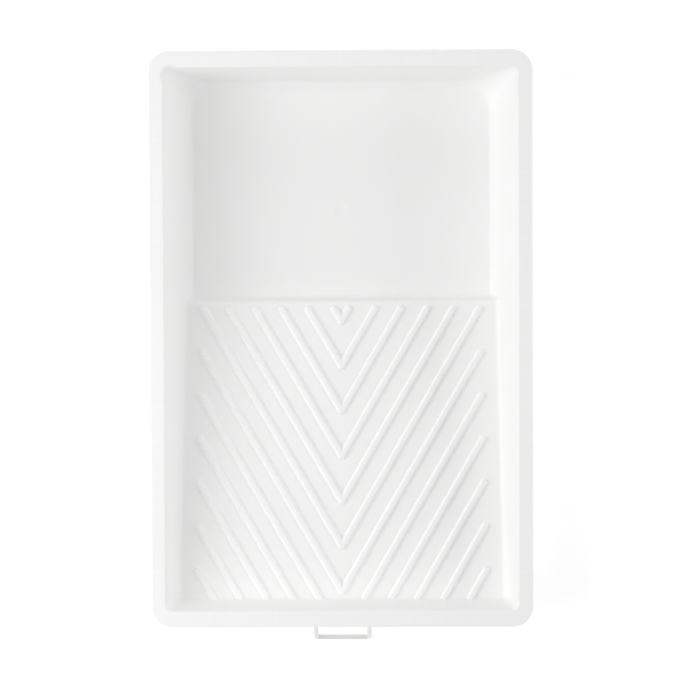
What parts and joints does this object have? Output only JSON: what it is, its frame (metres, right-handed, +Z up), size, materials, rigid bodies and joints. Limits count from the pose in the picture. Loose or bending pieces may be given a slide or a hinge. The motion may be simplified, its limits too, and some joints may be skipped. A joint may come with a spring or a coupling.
{
  "type": "paint roller tray",
  "caption": "White plastic paint roller tray with a deep well, a ramp with chevron ribs, a turned-down rim and a bent wire leg under its shallow end.",
  "frame": {"origin": "centre of the whole part's length and width, leg included, on the table plane", "axes": "+X across the tray, +Y towards the deep end, +Z up; the paint well opens upwards"},
  "size_m": [0.28, 0.4386, 0.064],
  "materials": {
    "tray_plastic": "satin injection-moulded polypropylene, white",
    "leg_coating": "satin white polymer coating on steel wire"
  },
  "bodies": {
    "tray": {"tray_shell": "tray_plastic"},
    "leg": {"leg_loop": "leg_coating"}
  },
  "joints": [
    {"name": "leg_fold", "type": "hinge", "parent": "tray", "child": "leg", "pos_m": [0, -0.19554, 0.058], "axis": [1, 0, 0], "range_deg": [0, 39]}
  ]
}
